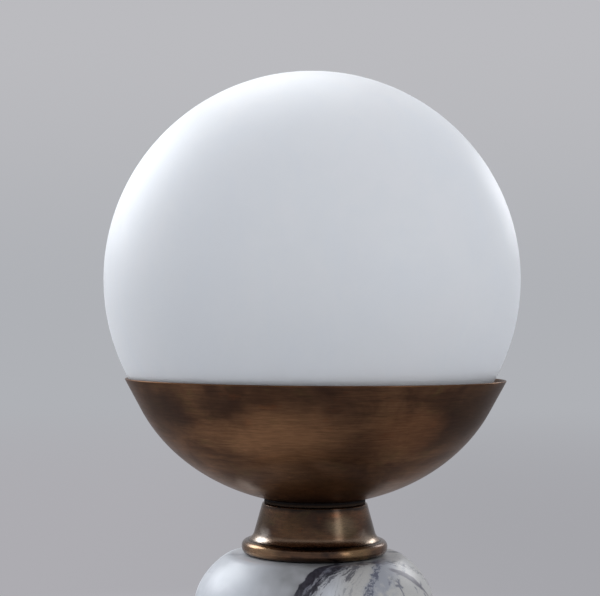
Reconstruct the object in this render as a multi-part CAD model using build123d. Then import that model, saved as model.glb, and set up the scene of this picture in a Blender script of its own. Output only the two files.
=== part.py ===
from build123d import *
import os
from math import asin, cos, pi, sin, sqrt

# Glass globe table lamp, in millimetres. +Z is up, the origin is the centre of the felt's underside,
# and +Y is the back of the lamp, where the cord bushing is. Everything is stacked on one hollow rod:
# base, lower bell, marble, upper bell, cup, gallery and lampholder. The globe lifts off the gallery.

# ---------------------------------------------------------------- glass globe
globe_radius = 100.0
globe_wall = 3.0
lip_radius = 35.0            # outside of the short neck round the opening
lip_height = 3.7             # neck below the sphere
lip_edge_round = 1.0
globe_play = 2.05            # the loose globe leans this far to one side of its gallery
globe_lean_gap = 0.5         # what is left between lip and gallery on the side it leans from

# ---------------------------------------------------------------- cup
cup_wall = 1.2
cup_rim_drop = 47.8          # rim plane below the globe's centre
cup_rim_gap = 0.55           # between cup and globe on the side the globe leans to
cup_centre_rise = 17.0       # centre of the bowl's ellipse above the rim
cup_lip_height = 15.0        # straight band under the rim
cup_pole_drop = 0.65         # how far the ellipse's pole lies below the flat of the bowl
cup_gasket_inset = 0.8
cup_gasket_thinnest = 1.4

# ---------------------------------------------------------------- bells and bead rings
bell_height = 17.8
bell_top_radius = 25.2
bell_waist_radius = 29.1
bell_flare_height = 3.7
bell_wall = 2.4
bell_rim_width = 4.2
bell_recess = 3.0
bell_deck = 3.0
bead_radius = 35.1
bead_height = 6.4
bead_corner = 2.8
bead_web = 3.0
bead_wall = 6.0
bead_gasket = 0.5
bead_gasket_inset = 1.4

# ---------------------------------------------------------------- marble
marble_radius = 57.8
marble_height = 50.0
marble_shoulder = 6.5        # flat of the marble outside the bead ring
marble_shoulder_round = 7.0
marble_bore_radius = 7.0
marble_bush_length = 12.0

# ---------------------------------------------------------------- base
base_radius = 75.0
base_height = 22.0           # shell alone, above the felt
base_edge_round = 4.5
base_crown = 1.2             # fall of the top from the bell's foot to the edge
base_shell_wall = 1.6
base_cover_thickness = 1.6
base_side_clearance = 0.4
base_weight_web = 3.6        # iron left above the cord channel
felt_thickness = 2.0
felt_inset = 2.5
cover_screw_radius = 2.0
cover_screw_head_radius = 3.8
cover_screw_length = 9.0
cover_screw_circle = 48.0
cover_screw_count = 3

# ---------------------------------------------------------------- cord inlet
cord_bore_radius = 3.3
bushing_wall = 1.2
bushing_flange = 1.4         # flange beyond the bushing's body
bushing_flange_thickness = 2.2
bushing_inside = 9.0         # length inside the shell's wall
bushing_nut_thickness = 3.2
bushing_nut_wall = 1.6       # from the thread to the flats

# ---------------------------------------------------------------- rod, nuts and washers
rod_radius = 5.0
rod_bore_radius = 3.6
rod_clearance = 0.25
rod_nut_flats = 17.0
rod_nut_height = 4.8
rod_nut_cover = 1.5          # rod end below the lower nut
washer_thickness = 1.2
washer_radius = 10.5
pocket_clearance = 1.0

# ---------------------------------------------------------------- gallery that carries the globe
gallery_thickness = 1.2
gallery_collar_height = 6.5  # above the plate
gallery_flange_beyond_lip = 0.9
gallery_vent_radius = 2.2
gallery_vent_count = 6
globe_gasket_thickness = 1.5
globe_gasket_fit = 0.2

# ---------------------------------------------------------------- E27 lampholder
holder_radius = 19.5
holder_height = 52.0
holder_cap_height = 18.0
holder_cap_floor = 5.0
holder_wall = 2.2
holder_edge_round = 2.5
holder_spigot = 5.0
holder_fit = 0.15
insert_floor = 5.0
insert_wall = 2.0
insert_ledge = 1.05          # width of the spigot's top edge that carries the insert
insert_top_gap = 5.0         # insert's top edge below the holder's mouth
screw_shell_wall = 0.4
screw_shell_fit = 0.35       # between the bulb's cap and the screw shell
screw_shell_mouth_gap = 2.0
contact_width = 5.0
contact_thickness = 0.4
contact_gap = 0.3            # leaf to the bulb's tip
terminal_radius = 1.6
terminal_length = 4.0
terminal_circle = 10.5
rod_in_holder = 4.0

# ---------------------------------------------------------------- E27 bulb with a 45 mm ball
bulb_cap_radius = 13.1
bulb_cap_length = 18.0
bulb_tip_radius = 4.5
bulb_tip_height = 1.2
bulb_insulator_height = 3.2
bulb_seat_height = 2.4       # sprung contact's height over the insert's floor
bulb_ball_radius = 22.5
bulb_body_height = 18.0
bulb_body_top_radius = 20.0
bulb_shell = 1.2
bulb_board_thickness = 1.6
bulb_board_gap = 0.3
bulb_chip_width = 3.0
bulb_chip_height = 0.8
bulb_chip_count = 6

# ---------------------------------------------------------------- heights of the stack, from the table up
base_bottom = felt_thickness
base_top = base_bottom + base_height
lower_bead_bottom = base_top + bell_height
marble_bottom = lower_bead_bottom + bead_height + bead_gasket
marble_top = marble_bottom + marble_height
upper_bead_bottom = marble_top + bead_gasket
upper_bell_bottom = upper_bead_bottom + bead_height
bell_top = upper_bell_bottom + bell_height

# globe: its neck stands on the gasket of the gallery, which the rod's upper nut carries
lip_opening_radius = lip_radius - globe_wall
sphere_to_lip = sqrt(globe_radius**2 - lip_radius**2)
cup_flat_to_centre = (
    cup_wall + washer_thickness + rod_nut_height + gallery_thickness
    + globe_gasket_thickness + lip_height + sphere_to_lip
)

# cup: an ellipse from the flat up to the straight band, whose slope it meets
cup_flat_below_rim = cup_flat_to_centre - cup_rim_drop
cup_semi_height = cup_centre_rise + cup_flat_below_rim + cup_pole_drop
band_share = (cup_centre_rise + cup_lip_height) / cup_semi_height
band_root = sqrt(1 - band_share**2)
band_spread = cup_lip_height * band_share / (cup_semi_height * band_root)
cup_wall_across = cup_wall * sqrt(1 + (band_spread / cup_lip_height * cup_semi_height) ** 2)
cup_rim_radius = sqrt(globe_radius**2 - cup_rim_drop**2) + globe_play + cup_rim_gap + cup_wall_across
cup_semi_width = cup_rim_radius / (band_root + band_spread)


def cup_height_over_flat(radius):
    """Height of the bowl's outside over its flat, at a radius below the straight band."""
    pole_to_point = cup_semi_height * (1 - sqrt(1 - (radius / cup_semi_width) ** 2))
    return pole_to_point - cup_pole_drop


bell_rim_inner = bell_top_radius - bell_rim_width
cup_flat = bell_top + cup_gasket_thinnest - cup_height_over_flat(bell_rim_inner)
cup_rim = cup_flat + cup_flat_below_rim
cup_centre = cup_rim + cup_centre_rise
cup_nut_bottom = cup_flat + cup_wall + washer_thickness
gallery_bottom = cup_nut_bottom + rod_nut_height
gallery_top = gallery_bottom + gallery_thickness
globe_gasket_top = gallery_top + globe_gasket_thickness
globe_centre = globe_gasket_top + lip_height + sphere_to_lip
collar_radius = lip_opening_radius - globe_play - globe_lean_gap
gallery_radius = lip_radius + gallery_flange_beyond_lip

# rod and its lower nut, in the pocket of the weight
weight_bottom = base_bottom + base_cover_thickness
weight_top = base_top - base_shell_wall
weight_radius = base_radius - base_shell_wall - base_side_clearance
channel_top = weight_top - base_weight_web
lower_nut_top = channel_top - washer_thickness
lower_nut_bottom = lower_nut_top - rod_nut_height
rod_bottom = lower_nut_bottom - rod_nut_cover
rod_top = gallery_top + rod_in_holder
rod_hole_radius = rod_radius + rod_clearance
pocket_radius = washer_radius + pocket_clearance

# cord inlet, half way between the cover and the rounding of the base's edge
bushing_radius = cord_bore_radius + bushing_wall
bushing_flange_radius = bushing_radius + bushing_flange
bushing_nut_flats = 2 * (bushing_radius + bushing_nut_wall)
cord_height = (weight_bottom + base_top - base_crown - base_edge_round) / 2
channel_width = bushing_nut_flats / cos(pi / 6) + 2 * pocket_clearance

# lampholder and bulb, from the gallery up
holder_top = gallery_top + holder_height
cap_top = gallery_top + holder_cap_height
spigot_top = cap_top + holder_spigot
spigot_radius = holder_radius - holder_wall - holder_fit
insert_floor_top = spigot_top + insert_floor
screw_shell_inner = bulb_cap_radius + screw_shell_fit
screw_shell_outer = screw_shell_inner + screw_shell_wall
insert_bore_radius = screw_shell_outer + holder_fit
insert_radius = insert_bore_radius + insert_wall
bulb_tip = insert_floor_top + bulb_seat_height
bulb_thread_bottom = bulb_tip + bulb_tip_height + bulb_insulator_height
bulb_thread_top = bulb_thread_bottom + bulb_cap_length
bulb_body_top = bulb_thread_top + bulb_body_height
bulb_ball_centre = bulb_body_top + sqrt(bulb_ball_radius**2 - bulb_body_top_radius**2)


def turned(*points):
    """Solid of revolution about Z from straight lines through (radius, height) points."""
    return revolve(Plane.XZ * make_face(Polyline(*points, close=True)), Axis.Z)


def turned_outline(*edges):
    """Solid of revolution about Z from edges that close an outline of (radius, height)."""
    return revolve(Plane.XZ * make_face(Wire(edges)), Axis.Z)


def disc(radius, bottom, top, hole=0.0):
    """A round plate, or a ring if it has a hole."""
    plate = Pos(0, 0, bottom) * extrude(Circle(radius), top - bottom)
    if hole:
        plate -= Pos(0, 0, bottom) * extrude(Circle(hole), top - bottom)
    return plate


def hex_nut(flats, hole, bottom, height):
    """A hexagon nut with its two faces bevelled at the corners."""
    corner = flats / 2 / cos(pi / 6)
    bevel = corner - flats / 2
    hexagon = extrude(RegularPolygon(corner, 6), height)
    bevelled = turned((0, 0), (flats / 2, 0), (corner, bevel), (corner, height - bevel),
                      (flats / 2, height), (0, height))
    return Pos(0, 0, bottom) * ((hexagon & bevelled) - extrude(Circle(hole), height))


# ---------------------------------------------------------------- base
def felt_pad():
    return disc(base_radius - felt_inset, 0, felt_thickness)


def cover_screw_places():
    """The cover's screws are on one circle and miss the cord channel at the back."""
    step = 360 / cover_screw_count
    return [Rot(0, 0, -90 + step * k) * Pos(cover_screw_circle, 0, 0) for k in range(cover_screw_count)]


def countersunk_screw(clearance=0.0):
    """A countersunk screw, head down in the cover's underside, or its hole with a clearance."""
    shank = cover_screw_radius + clearance
    head = cover_screw_head_radius + clearance
    neck = base_bottom + head - shank
    tip = base_bottom + cover_screw_length + clearance
    return turned((0, base_bottom), (head, base_bottom), (shank, neck), (shank, tip), (0, tip))


def cover_screws():
    return [place * countersunk_screw() for place in cover_screw_places()]


def base_cover():
    cover = disc(weight_radius, base_bottom, weight_bottom)
    for place in cover_screw_places():
        cover -= place * countersunk_screw(rod_clearance / 2)
    return cover


def base_weight():
    """Cast-iron disc with a pocket for the rod's nut, a cord channel to the back and screw holes."""
    shoulder = weight_top - base_crown - base_edge_round
    iron = turned((0, weight_bottom), (weight_radius, weight_bottom), (weight_radius, shoulder),
                  (weight_radius - base_edge_round, weight_top - base_crown - base_side_clearance),
                  (bead_radius, weight_top), (0, weight_top))
    iron -= disc(rod_hole_radius, weight_bottom, weight_top)
    iron -= disc(pocket_radius, weight_bottom, channel_top)
    channel = Rectangle(channel_width, weight_radius, align=(Align.CENTER, Align.MIN))
    iron -= Pos(0, 0, weight_bottom) * extrude(channel, channel_top - weight_bottom)
    for place in cover_screw_places():
        iron -= place * countersunk_screw(rod_clearance / 2)
    return iron


def base_skin(inset):
    """The base's outside, moved inwards by an inset, closed along the axis."""
    radius = base_radius - inset
    top = base_top - inset
    edge_round = base_edge_round - inset
    edge_top = top - base_crown
    return turned_outline(
        Line((0, base_bottom), (radius, base_bottom)),
        Line((radius, base_bottom), (radius, edge_top - edge_round)),
        RadiusArc((radius, edge_top - edge_round), (radius - edge_round, edge_top), -edge_round),
        Line((radius - edge_round, edge_top), (bead_radius, top)),
        Line((bead_radius, top), (0, top)),
        Line((0, top), (0, base_bottom)),
    )


def base_shell():
    """Spun metal shell, open below, with holes for the rod and the cord bushing."""
    shell = base_skin(0) - base_skin(base_shell_wall)
    shell -= disc(rod_hole_radius, base_bottom, base_top)
    shell -= along_cord(extrude(Circle(bushing_radius + rod_clearance), 2 * base_radius))
    return shell


def along_cord(piece):
    """Puts a piece made along +Z on the cord's axis, pointing out of the back of the base."""
    return Pos(0, 0, cord_height) * Rot(-90, 0, 0) * piece


def cord_bushing():
    """Flanged bushing with a rounded mouth, so that the cord bends over no sharp edge."""
    outer = base_radius + bushing_flange_thickness
    inner = base_radius - base_shell_wall - bushing_inside
    mouth = bushing_wall / 2
    body = turned((cord_bore_radius, inner), (bushing_radius, inner), (bushing_radius, base_radius),
                  (bushing_flange_radius, base_radius), (bushing_flange_radius, outer - mouth),
                  (bushing_flange_radius - mouth, outer), (cord_bore_radius + mouth, outer),
                  (cord_bore_radius, outer - mouth))
    return along_cord(body)


def bushing_nut():
    wall_inside = sqrt((base_radius - base_shell_wall) ** 2 - (bushing_nut_flats / 2) ** 2)
    bottom = wall_inside - bushing_nut_thickness
    return along_cord(hex_nut(bushing_nut_flats, bushing_radius + holder_fit, bottom, bushing_nut_thickness))


# ---------------------------------------------------------------- rod and its hardware
def rod():
    return disc(rod_radius, rod_bottom, rod_top, rod_bore_radius)


def washer(bottom):
    return disc(washer_radius, bottom, bottom + washer_thickness, rod_hole_radius)


# ---------------------------------------------------------------- bells, bead rings and marble
def bell():
    """Flared neck piece, foot at height 0: a cone that sweeps out at its foot, hollow below its deck."""
    foot = bead_radius - bead_corner
    slope = (bell_top_radius - bell_waist_radius) / (bell_height - bell_flare_height)
    recess_floor = bell_height - bell_recess
    deck_bottom = recess_floor - bell_deck
    inner_top = bell_top_radius - slope * (bell_height - deck_bottom) - bell_wall
    inner_foot = bell_waist_radius - bell_wall
    return turned_outline(
        Line((inner_foot, 0), (foot, 0)),
        TangentArc((bell_waist_radius, bell_flare_height), (foot, 0), tangent=(-slope, -1)),
        Line((bell_waist_radius, bell_flare_height), (bell_top_radius, bell_height)),
        Line((bell_top_radius, bell_height), (bell_rim_inner, bell_height)),
        Line((bell_rim_inner, bell_height), (bell_rim_inner, recess_floor)),
        Line((bell_rim_inner, recess_floor), (rod_hole_radius, recess_floor)),
        Line((rod_hole_radius, recess_floor), (rod_hole_radius, deck_bottom)),
        Line((rod_hole_radius, deck_bottom), (inner_top, deck_bottom)),
        Line((inner_top, deck_bottom), (inner_foot, 0)),
    )


def bead_ring():
    """Round-edged ring between a bell and the marble, with a web that centres it on the rod."""
    straight = bead_radius - bead_corner
    inner = straight - bead_wall
    return turned_outline(
        Line((rod_hole_radius, 0), (straight, 0)),
        RadiusArc((straight, 0), (bead_radius, bead_corner), -bead_corner),
        Line((bead_radius, bead_corner), (bead_radius, bead_height - bead_corner)),
        RadiusArc((bead_radius, bead_height - bead_corner), (straight, bead_height), -bead_corner),
        Line((straight, bead_height), (inner, bead_height)),
        Line((inner, bead_height), (inner, bead_web)),
        Line((inner, bead_web), (rod_hole_radius, bead_web)),
        Line((rod_hole_radius, bead_web), (rod_hole_radius, 0)),
    )


def upside_down(piece, top):
    return Pos(0, 0, top) * Rot(180, 0, 0) * piece


def bead_gasket_ring(bottom):
    return disc(bead_radius - bead_corner - bead_gasket_inset / 2, bottom, bottom + bead_gasket,
                marble_bore_radius + bead_gasket_inset)


def marble_body():
    """Flattened marble ball: an ellipsoid cut flat above and below, with softened shoulders."""
    flat_radius = bead_radius + marble_shoulder
    half = marble_height / 2
    semi_height = half / sqrt(1 - (flat_radius / marble_radius) ** 2)
    turn = asin(half / semi_height) * 180 / pi
    ball = turned_outline(
        EllipticalCenterArc((0, 0), marble_radius, semi_height, -turn, arc_size=turn),
        EllipticalCenterArc((0, 0), marble_radius, semi_height, 0, arc_size=turn),
        Line((flat_radius, half), (0, half)),
        Line((0, half), (0, -half)),
        Line((0, -half), (flat_radius, -half)),
    )
    flats = ball.edges().filter_by(GeomType.CIRCLE).filter_by(lambda e: abs(e.radius - flat_radius) < 0.01)
    ball = fillet(flats, marble_shoulder_round)
    ball -= disc(marble_bore_radius, -half, half)
    return Pos(0, 0, marble_bottom + half) * ball


def marble_bush(bottom):
    """Sleeve that centres the marble's wide bore on the rod."""
    return disc(marble_bore_radius - rod_clearance, bottom, bottom + marble_bush_length, rod_hole_radius)


# ---------------------------------------------------------------- cup and gallery
def bowl(inset):
    """Inside of the cup's outer face moved inwards: ellipse, straight band, closed along the axis."""
    width = cup_semi_width - inset
    height = cup_semi_height - inset
    flat = cup_flat + inset
    band = cup_rim - cup_lip_height
    band_turn = asin((cup_centre - band) / height)
    flat_turn = asin((cup_centre - flat) / height)
    band_radius = width * cos(band_turn)
    rim_radius = band_radius + (cup_semi_width * band_spread)
    degrees = 180 / pi
    return turned_outline(
        Line((0, flat), (width * cos(flat_turn), flat)),
        EllipticalCenterArc((0, cup_centre), width, height, -flat_turn * degrees,
                            arc_size=(flat_turn - band_turn) * degrees),
        Line((band_radius, band), (rim_radius, cup_rim)),
        Line((rim_radius, cup_rim), (0, cup_rim)),
        Line((0, cup_rim), (0, flat)),
    )


def cup():
    return bowl(0) - bowl(cup_wall) - disc(rod_hole_radius, cup_flat, cup_rim)


def cup_gasket():
    """Black ring on the bell's rim; its top follows the bowl that it carries."""
    ring = disc(bell_top_radius - cup_gasket_inset, bell_top, cup_flat + bell_rim_width, bell_rim_inner)
    return ring - bowl(0)


def gallery():
    """Pressed plate that the globe's gasket lies on, with a collar that keeps the globe central."""
    plate = disc(gallery_radius, gallery_bottom, gallery_top, rod_hole_radius)
    plate += disc(collar_radius, gallery_top, gallery_top + gallery_collar_height,
                  collar_radius - gallery_thickness)
    vent_circle = (holder_radius + collar_radius - gallery_thickness) / 2
    vent = disc(gallery_vent_radius, gallery_bottom, gallery_top)
    return plate - [place * vent for place in PolarLocations(vent_circle, gallery_vent_count)]


def globe_gasket():
    return disc(gallery_radius, gallery_top, globe_gasket_top, collar_radius + globe_gasket_fit)


def globe():
    """Blown globe, one even wall, whose short neck stands on the gallery's gasket."""
    bottom = globe_gasket_top
    neck_turn = asin(sphere_to_lip / globe_radius) * 180 / pi
    neck_start = globe_centre - sphere_to_lip
    inner_radius = globe_radius - globe_wall
    inner_rise = sqrt(inner_radius**2 - lip_opening_radius**2)
    inner_turn = asin(inner_rise / inner_radius) * 180 / pi
    edge = lip_edge_round
    glass = turned_outline(
        CenterArc((0, globe_centre), globe_radius, -neck_turn, 90 + neck_turn),
        Line((0, globe_centre + globe_radius), (0, globe_centre + inner_radius)),
        CenterArc((0, globe_centre), inner_radius, -inner_turn, 90 + inner_turn),
        Line((lip_opening_radius, globe_centre - inner_rise), (lip_opening_radius, bottom + edge)),
        RadiusArc((lip_opening_radius, bottom + edge), (lip_opening_radius + edge, bottom), -edge),
        Line((lip_opening_radius + edge, bottom), (lip_radius - edge, bottom)),
        RadiusArc((lip_radius - edge, bottom), (lip_radius, bottom + edge), -edge),
        Line((lip_radius, bottom + edge), (lip_radius, neck_start)),
    )
    return Pos(-globe_play, 0, 0) * glass


# ---------------------------------------------------------------- lampholder
def holder_cap():
    """Lower half of the lampholder, screwed on the rod, with a spigot for the upper half."""
    spigot_inner = insert_radius - insert_ledge
    floor = gallery_top + holder_cap_floor
    edge = holder_edge_round
    return turned_outline(
        Line((rod_hole_radius, gallery_top), (holder_radius - edge, gallery_top)),
        RadiusArc((holder_radius - edge, gallery_top), (holder_radius, gallery_top + edge), -edge),
        Line((holder_radius, gallery_top + edge), (holder_radius, cap_top)),
        Line((holder_radius, cap_top), (spigot_radius, cap_top)),
        Line((spigot_radius, cap_top), (spigot_radius, spigot_top)),
        Line((spigot_radius, spigot_top), (spigot_inner, spigot_top)),
        Line((spigot_inner, spigot_top), (spigot_inner, floor)),
        Line((spigot_inner, floor), (rod_hole_radius, floor)),
        Line((rod_hole_radius, floor), (rod_hole_radius, gallery_top)),
    )


def holder_skirt():
    """Upper half of the lampholder, whose mouth is turned in over the insert."""
    inner = holder_radius - holder_wall
    mouth = insert_radius + holder_fit - insert_wall / 2
    inner_top = holder_top - insert_top_gap + holder_fit
    edge = holder_edge_round
    return turned_outline(
        Line((inner, cap_top), (holder_radius, cap_top)),
        Line((holder_radius, cap_top), (holder_radius, holder_top - edge)),
        RadiusArc((holder_radius, holder_top - edge), (holder_radius - edge, holder_top), -edge),
        Line((holder_radius - edge, holder_top), (mouth, holder_top)),
        Line((mouth, holder_top), (mouth, inner_top)),
        Line((mouth, inner_top), (inner, inner_top)),
        Line((inner, inner_top), (inner, cap_top)),
    )


def holder_insert():
    """Ceramic cup that carries the screw shell and the centre contact."""
    top = holder_top - insert_top_gap
    floor = disc(insert_radius, spigot_top, insert_floor_top)
    for place in terminal_places():
        hole = extrude(Circle(terminal_radius + holder_fit), terminal_length)
        floor -= place * Pos(0, 0, spigot_top) * hole
    return floor + disc(insert_radius, insert_floor_top, top, insert_bore_radius)


def screw_shell():
    return disc(screw_shell_outer, insert_floor_top, holder_top - screw_shell_mouth_gap - insert_wall,
                screw_shell_inner)


def terminal_places():
    return [Pos(side * terminal_circle, 0, 0) for side in (-1, 1)]


def terminal_screws():
    """Two terminal screws in the underside of the insert, heads in the wiring space."""
    head = 2 * terminal_radius
    screw = turned((0, -terminal_radius), (head, -terminal_radius), (head, 0), (terminal_radius, 0),
                   (terminal_radius, terminal_length), (0, terminal_length))
    return [place * Pos(0, 0, spigot_top) * screw for place in terminal_places()]


def centre_contact():
    """Bent leaf spring that rises from the insert's floor to the bulb's tip."""
    top = bulb_tip - contact_gap
    start, end = -bulb_cap_radius * 0.75, bulb_tip_radius * 0.8
    under = insert_floor_top
    leaf = Polyline((start, under), (start / 2, under), (-end, top - contact_thickness),
                    (end, top - contact_thickness), (end, top), (-end, top),
                    (start / 2, under + contact_thickness), (start, under + contact_thickness), close=True)
    return Pos(0, contact_width / 2, 0) * extrude(Plane.XZ * make_face(leaf), contact_width)


# ---------------------------------------------------------------- bulb
def bulb_tip_contact():
    return disc(bulb_tip_radius, bulb_tip, bulb_tip + bulb_tip_height)


def bulb_insulator():
    bottom = bulb_tip + bulb_tip_height
    return turned((0, bottom), (bulb_tip_radius + bulb_shell, bottom),
                  (bulb_cap_radius - bulb_shell, bulb_thread_bottom), (0, bulb_thread_bottom))


def bulb_cap():
    """Screw cap of the bulb, a thin cup whose floor has a hole for the lead to the tip."""
    floor = disc(bulb_cap_radius, bulb_thread_bottom, bulb_thread_bottom + bulb_shell, bulb_tip_radius)
    return floor + disc(bulb_cap_radius, bulb_thread_bottom, bulb_thread_top, bulb_cap_radius - bulb_shell)


def bulb_body():
    """Plastic body, hollow for the driver, that widens in a curve from the cap to the ball."""
    neck = bulb_cap_radius + bulb_shell / 2
    curve = bulb_body_height / 3
    inner = bulb_cap_radius - 2 * bulb_shell
    return turned_outline(
        Line((inner, bulb_thread_top), (neck, bulb_thread_top)),
        Line((neck, bulb_thread_top), (neck, bulb_thread_top + curve)),
        TangentArc((neck, bulb_thread_top + curve), (bulb_body_top_radius, bulb_body_top), tangent=(0, 1)),
        Line((bulb_body_top_radius, bulb_body_top), (bulb_body_top_radius - 2 * bulb_shell, bulb_body_top)),
        Line((bulb_body_top_radius - 2 * bulb_shell, bulb_body_top), (inner, bulb_thread_top + curve)),
        Line((inner, bulb_thread_top + curve), (inner, bulb_thread_top)),
    )


def bulb_ball():
    """Frosted ball of the bulb, an open shell that stands on the body."""
    inner_radius = bulb_ball_radius - bulb_shell
    ball = Sphere(bulb_ball_radius) - Sphere(inner_radius)
    ball = Pos(0, 0, bulb_ball_centre) * ball
    return ball - disc(2 * bulb_ball_radius, bulb_body_top - 2 * bulb_ball_radius, bulb_body_top)


def bulb_board():
    """Round board with a raised square for each light-emitting chip."""
    ball_inner_at_board = sqrt((bulb_ball_radius - bulb_shell) ** 2 - (bulb_ball_centre - bulb_body_top) ** 2)
    board_radius = ball_inner_at_board - bulb_board_gap
    board_top = bulb_body_top + bulb_board_thickness
    chip = Pos(0, 0, board_top) * extrude(Rectangle(bulb_chip_width, bulb_chip_width), bulb_chip_height)
    chips = [place * chip for place in PolarLocations(board_radius / 2, bulb_chip_count)]
    return disc(board_radius, bulb_body_top, board_top) + chips


def write(name, solids):
    """Writes one node as STEP, as one solid or as a group of separate solids."""
    pieces = solids if isinstance(solids, list) else [solids]
    found = [s for piece in pieces for s in piece.solids()]
    export_step(found[0] if len(found) == 1 else Compound(children=found), f"parts/{name}.step")
    return found


NODES = {
    "felt_pad": felt_pad(),
    "base_cover": base_cover(),
    "base_cover_screws": cover_screws(),
    "base_weight": base_weight(),
    "base_shell": base_shell(),
    "cord_bushing": cord_bushing(),
    "cord_bushing_nut": bushing_nut(),
    "rod": rod(),
    "rod_nut_lower": hex_nut(rod_nut_flats, rod_radius, lower_nut_bottom, rod_nut_height),
    "rod_washer_lower": washer(lower_nut_top),
    "lower_bell": upside_down(bell(), lower_bead_bottom),
    "lower_bead_ring": upside_down(bead_ring(), lower_bead_bottom + bead_height),
    "marble_gasket_lower": bead_gasket_ring(lower_bead_bottom + bead_height),
    "marble_bush_lower": marble_bush(marble_bottom),
    "marble_body": marble_body(),
    "marble_bush_upper": marble_bush(marble_top - marble_bush_length),
    "marble_gasket_upper": bead_gasket_ring(marble_top),
    "upper_bead_ring": Pos(0, 0, upper_bead_bottom) * bead_ring(),
    "upper_bell": Pos(0, 0, upper_bell_bottom) * bell(),
    "cup_gasket": cup_gasket(),
    "cup": cup(),
    "rod_washer_upper": washer(cup_flat + cup_wall),
    "rod_nut_upper": hex_nut(rod_nut_flats, rod_radius, cup_nut_bottom, rod_nut_height),
    "globe_gallery": gallery(),
    "globe_gasket": globe_gasket(),
    "lampholder_cap": holder_cap(),
    "lampholder_skirt": holder_skirt(),
    "lampholder_insert": holder_insert(),
    "lampholder_screw_shell": screw_shell(),
    "lampholder_centre_contact": centre_contact(),
    "lampholder_terminal_screws": terminal_screws(),
    "bulb_tip_contact": bulb_tip_contact(),
    "bulb_insulator": bulb_insulator(),
    "bulb_cap": bulb_cap(),
    "bulb_body": bulb_body(),
    "bulb_board": bulb_board(),
    "bulb_ball": bulb_ball(),
    "globe": globe(),
}

os.makedirs("parts", exist_ok=True)
for node_name, node_solids in NODES.items():
    write(node_name, node_solids)
print(f"rim height {cup_rim:.2f}, rim radius {cup_rim_radius:.2f}")
print(f"ellipse of the bowl {cup_semi_width:.2f} by {cup_semi_height:.2f}, bell top {bell_top:.2f}")
print(f"globe centre {globe_centre:.2f}, top {globe_centre + globe_radius:.2f}")
print(f"bulb top {bulb_ball_centre + bulb_ball_radius:.2f}, holder top {holder_top:.2f}")
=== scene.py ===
from math import atan2, cos, degrees, pi, radians, sin, sqrt, tan

import bpy
from mathutils import Matrix, Vector


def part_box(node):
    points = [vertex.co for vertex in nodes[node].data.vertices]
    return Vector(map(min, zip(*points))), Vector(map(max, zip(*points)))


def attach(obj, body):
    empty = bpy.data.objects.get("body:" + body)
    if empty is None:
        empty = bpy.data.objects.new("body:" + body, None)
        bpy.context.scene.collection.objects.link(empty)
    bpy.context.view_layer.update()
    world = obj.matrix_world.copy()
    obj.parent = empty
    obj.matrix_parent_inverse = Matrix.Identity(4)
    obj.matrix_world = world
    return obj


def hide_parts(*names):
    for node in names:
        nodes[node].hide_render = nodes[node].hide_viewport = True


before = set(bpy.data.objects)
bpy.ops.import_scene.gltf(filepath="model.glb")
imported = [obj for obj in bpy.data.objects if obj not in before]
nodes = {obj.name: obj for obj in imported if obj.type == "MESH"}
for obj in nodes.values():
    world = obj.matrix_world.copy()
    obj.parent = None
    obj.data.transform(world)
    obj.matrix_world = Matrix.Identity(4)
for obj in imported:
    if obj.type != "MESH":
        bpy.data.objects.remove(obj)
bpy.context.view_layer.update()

# Sizes in millimetres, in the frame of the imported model. MM turns them into metres.
MM = 0.001


def low(node):
    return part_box(node)[0].z / MM


def high(node):
    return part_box(node)[1].z / MM


def outer_radius(node):
    """Of a node that is centred on the lamp's axis."""
    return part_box(node)[1].x / MM


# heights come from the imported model, from the table up
BASE_BOTTOM, BASE_TOP = low("base_shell"), high("base_shell")
LOWER_BEAD, UPPER_BEAD = low("lower_bead_ring"), low("upper_bead_ring")
BEAD_HEIGHT = high("upper_bead_ring") - UPPER_BEAD
MARBLE_BOTTOM, MARBLE_TOP = low("marble_body"), high("marble_body")
UPPER_BELL, BELL_TOP = low("upper_bell"), high("upper_bell")
CUP_FLAT, RIM = low("cup"), high("cup")
GALLERY_TOP, GASKET_TOP = low("globe_gasket"), high("globe_gasket")
HOLDER_TOP, CAP_TOP = high("lampholder_skirt"), low("lampholder_skirt")
GLOBE_TOP = high("globe")

# the driving sizes of the turned forms
GLOBE_R, GLOBE_WALL, LIP_R, LIP_ROUND = 100.0, 3.0, 35.0, 1.0
CUP_WALL, CENTRE_RISE, BAND, POLE_DROP = 1.2, 17.0, 15.0, 0.65
BELL_TOP_R, BELL_WAIST_R, FLARE_HEIGHT, BELL_WALL = 25.2, 29.1, 3.7, 2.4
BELL_RIM_INNER, BELL_RECESS, BELL_DECK = 21.0, 3.0, 3.0
BEAD_R, BEAD_CORNER, BEAD_WALL, BEAD_WEB = 35.1, 2.8, 6.0, 3.0
MARBLE_FLAT_R, SHOULDER_ROUND, MARBLE_BORE = 41.6, 7.0, 7.0
ROD_HOLE, FELT_R = 5.25, 72.5
HOLDER_R, HOLDER_WALL, HOLDER_ROUND = 19.5, 2.2, 2.5
CORD_BORE, BUSHING_R, FLANGE_R, FLANGE = 3.3, 4.5, 5.9, 2.2
THREAD_PITCH, CAP_R, TIP_R, BALL_R, BULB_SHELL = 3.63, 13.1, 4.5, 22.5, 1.2

GLOBE_X = (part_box("globe")[0].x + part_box("globe")[1].x) / 2 / MM
GLOBE_Z = GLOBE_TOP - GLOBE_R
RIM_R = outer_radius("cup")
BELL_HEIGHT = BELL_TOP - UPPER_BELL
MARBLE_R = outer_radius("marble_body")
MARBLE_HALF = (MARBLE_TOP - MARBLE_BOTTOM) / 2
MARBLE_MIDDLE = MARBLE_BOTTOM + MARBLE_HALF

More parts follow.
